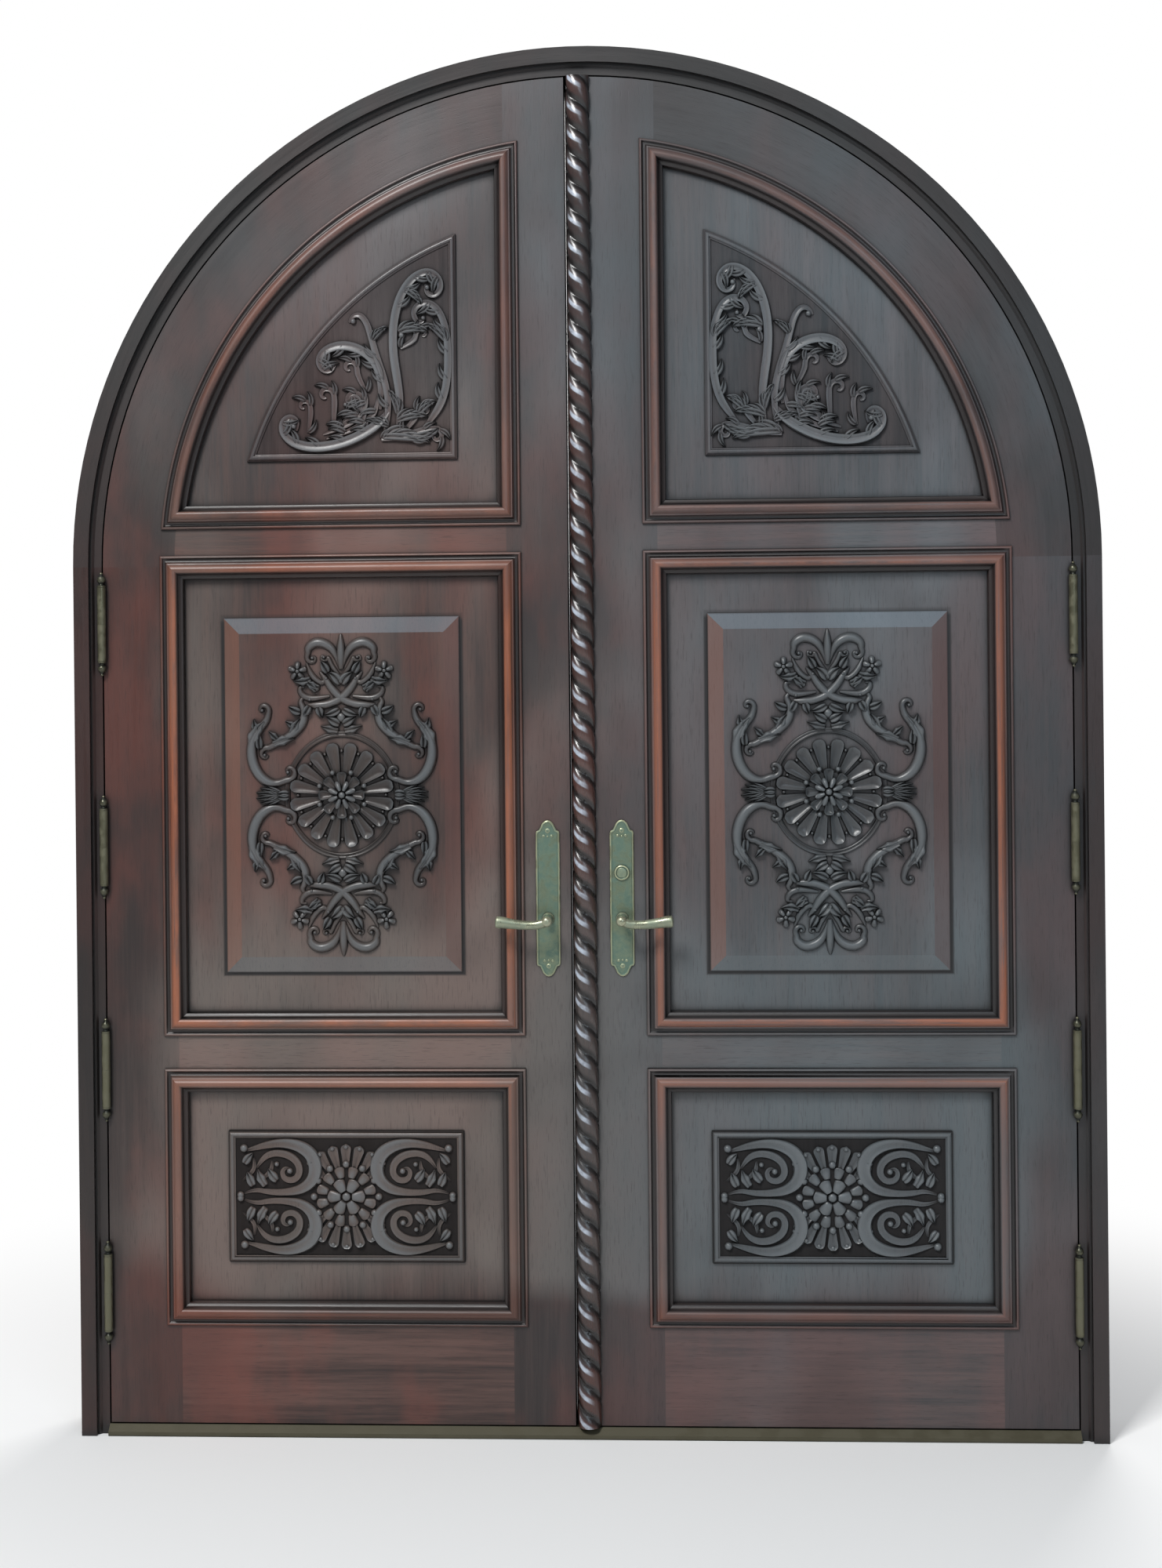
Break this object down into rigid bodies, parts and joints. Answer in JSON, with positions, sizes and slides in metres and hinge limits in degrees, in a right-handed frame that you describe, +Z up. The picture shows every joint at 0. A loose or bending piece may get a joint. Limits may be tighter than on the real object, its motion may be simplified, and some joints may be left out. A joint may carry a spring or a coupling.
{
  "type": "carved entrance door with frame",
  "caption": "Round-headed pair of carved wooden entrance doors in their frame, with panels, rope moulding, lever handles, lock and shoot bolts.",
  "frame": {"origin": "middle of the threshold's underside, midway through the frame's depth", "axes": "+Z up; the carved outside face looks to -Y and the inside face to +Y; +X to the right as seen from outside"},
  "size_m": [1.94, 0.188, 2.6258],
  "materials": {
    "frame_wood": "satin varnish",
    "leaf_wood": "satin varnish",
    "panel_wood": "satin varnish",
    "moulding_wood": "satin varnish",
    "carved_wood": "satin varnish",
    "threshold_brass": "dull",
    "hinge_brass": "antique",
    "handle_brass": "antique",
    "cylinder_brass": "satin",
    "lock_steel": "satin",
    "seal": "matte"
  },
  "bodies": {
    "frame": {"jamb_right": "frame_wood", "jamb_left": "frame_wood", "arch_head": "frame_wood", "threshold": "threshold_brass", "frame_seal": "seal", "hinge_frame_plates": "hinge_brass", "hinge_pins_right": "hinge_brass", "hinge_pins_left": "hinge_brass"},
    "leaf_right": {"hinge_stile_right": "leaf_wood", "meeting_stile_right": "leaf_wood", "arched_rail_right": "leaf_wood", "bottom_rail_right": "leaf_wood", "lock_rail_right": "leaf_wood", "cross_rail_right": "leaf_wood", "upper_panel_right": "panel_wood", "middle_panel_right": "panel_wood", "lower_panel_right": "panel_wood", "upper_moulding_right": "moulding_wood", "middle_moulding_right": "moulding_wood", "lower_moulding_right": "moulding_wood", "upper_tablet_right": "carved_wood", "middle_onlay_right": "carved_wood", "lower_tablet_right": "carved_wood", "hinge_door_plates_right": "hinge_brass", "plate_outside_right": "handle_brass", "plate_inside_right": "handle_brass", "rope_astragal": "carved_wood", "lock_case": "lock_steel", "key_cylinder": "cylinder_brass"},
    "leaf_left": {"hinge_stile_left": "leaf_wood", "meeting_stile_left": "leaf_wood", "arched_rail_left": "leaf_wood", "bottom_rail_left": "leaf_wood", "lock_rail_left": "leaf_wood", "cross_rail_left": "leaf_wood", "upper_panel_left": "panel_wood", "middle_panel_left": "panel_wood", "lower_panel_left": "panel_wood", "upper_moulding_left": "moulding_wood", "middle_moulding_left": "moulding_wood", "lower_moulding_left": "moulding_wood", "upper_tablet_left": "carved_wood", "middle_onlay_left": "carved_wood", "lower_tablet_left": "carved_wood", "hinge_door_plates_left": "hinge_brass", "plate_outside_left": "handle_brass", "plate_inside_left": "handle_brass", "strike_plate": "lock_steel", "bolt_case": "lock_steel"},
    "lever_right": {"lever_outside_right": "handle_brass", "lever_inside_right": "handle_brass", "spindle_right": "lock_steel"},
    "lever_left": {"lever_outside_left": "handle_brass", "lever_inside_left": "handle_brass", "spindle_left": "lock_steel"},
    "latch": {"latch_bolt": "lock_steel"},
    "deadlock": {"dead_bolt": "lock_steel"},
    "turn": {"thumb_turn": "handle_brass"},
    "upper_rod": {"top_bolt": "lock_steel"},
    "lower_rod": {"bottom_bolt": "lock_steel"}
  },
  "joints": [
    {"name": "right_leaf_hinge", "type": "hinge", "parent": "frame", "child": "leaf_right", "pos_m": [0.9175, -0.0645, 0.9095], "axis": [0, 0, 1], "range_deg": [0, 110]},
    {"name": "left_leaf_hinge", "type": "hinge", "parent": "frame", "child": "leaf_left", "pos_m": [-0.9175, -0.0645, 0.9095], "axis": [0, 0, -1], "range_deg": [0, 110]},
    {"name": "right_lever_turn", "type": "hinge", "parent": "leaf_right", "child": "lever_right", "pos_m": [0.07, -0.0275, 0.982], "axis": [0, 1, 0], "range_deg": [0, 45], "stiffness_Nm_per_rad": 1.5, "springref_deg": -28.65},
    {"name": "left_lever_lift", "type": "hinge", "parent": "leaf_left", "child": "lever_left", "pos_m": [-0.07, -0.0275, 0.982], "axis": [0, 1, 0], "range_deg": [0, 45], "stiffness_Nm_per_rad": 1.5, "springref_deg": -28.65},
    {"name": "latch_slide", "type": "slide", "parent": "leaf_right", "child": "latch", "axis": [-1, 0, 0], "range_m": [0, 0.014]},
    {"name": "thumb_turn_turn", "type": "hinge", "parent": "leaf_right", "child": "turn", "pos_m": [0.07, -0.0275, 1.068], "axis": [0, 1, 0], "range_deg": [0, 90]},
    {"name": "dead_bolt_slide", "type": "slide", "parent": "leaf_right", "child": "deadlock", "axis": [-1, 0, 0], "range_m": [0, 0.022]},
    {"name": "top_bolt_slide", "type": "slide", "parent": "leaf_left", "child": "upper_rod", "axis": [0, 0, 1], "range_m": [0, 0.018]},
    {"name": "bottom_bolt_slide", "type": "slide", "parent": "leaf_left", "child": "lower_rod", "axis": [0, 0, -1], "range_m": [0, 0.018]}
  ],
  "couplings": [
    {"joint": "thumb_turn_turn", "follows": "dead_bolt_slide", "rad_per_m": 71.4},
    {"joint": "top_bolt_slide", "follows": "left_lever_lift", "m_per_rad": 0.022918},
    {"joint": "bottom_bolt_slide", "follows": "left_lever_lift", "m_per_rad": 0.022918}
  ]
}
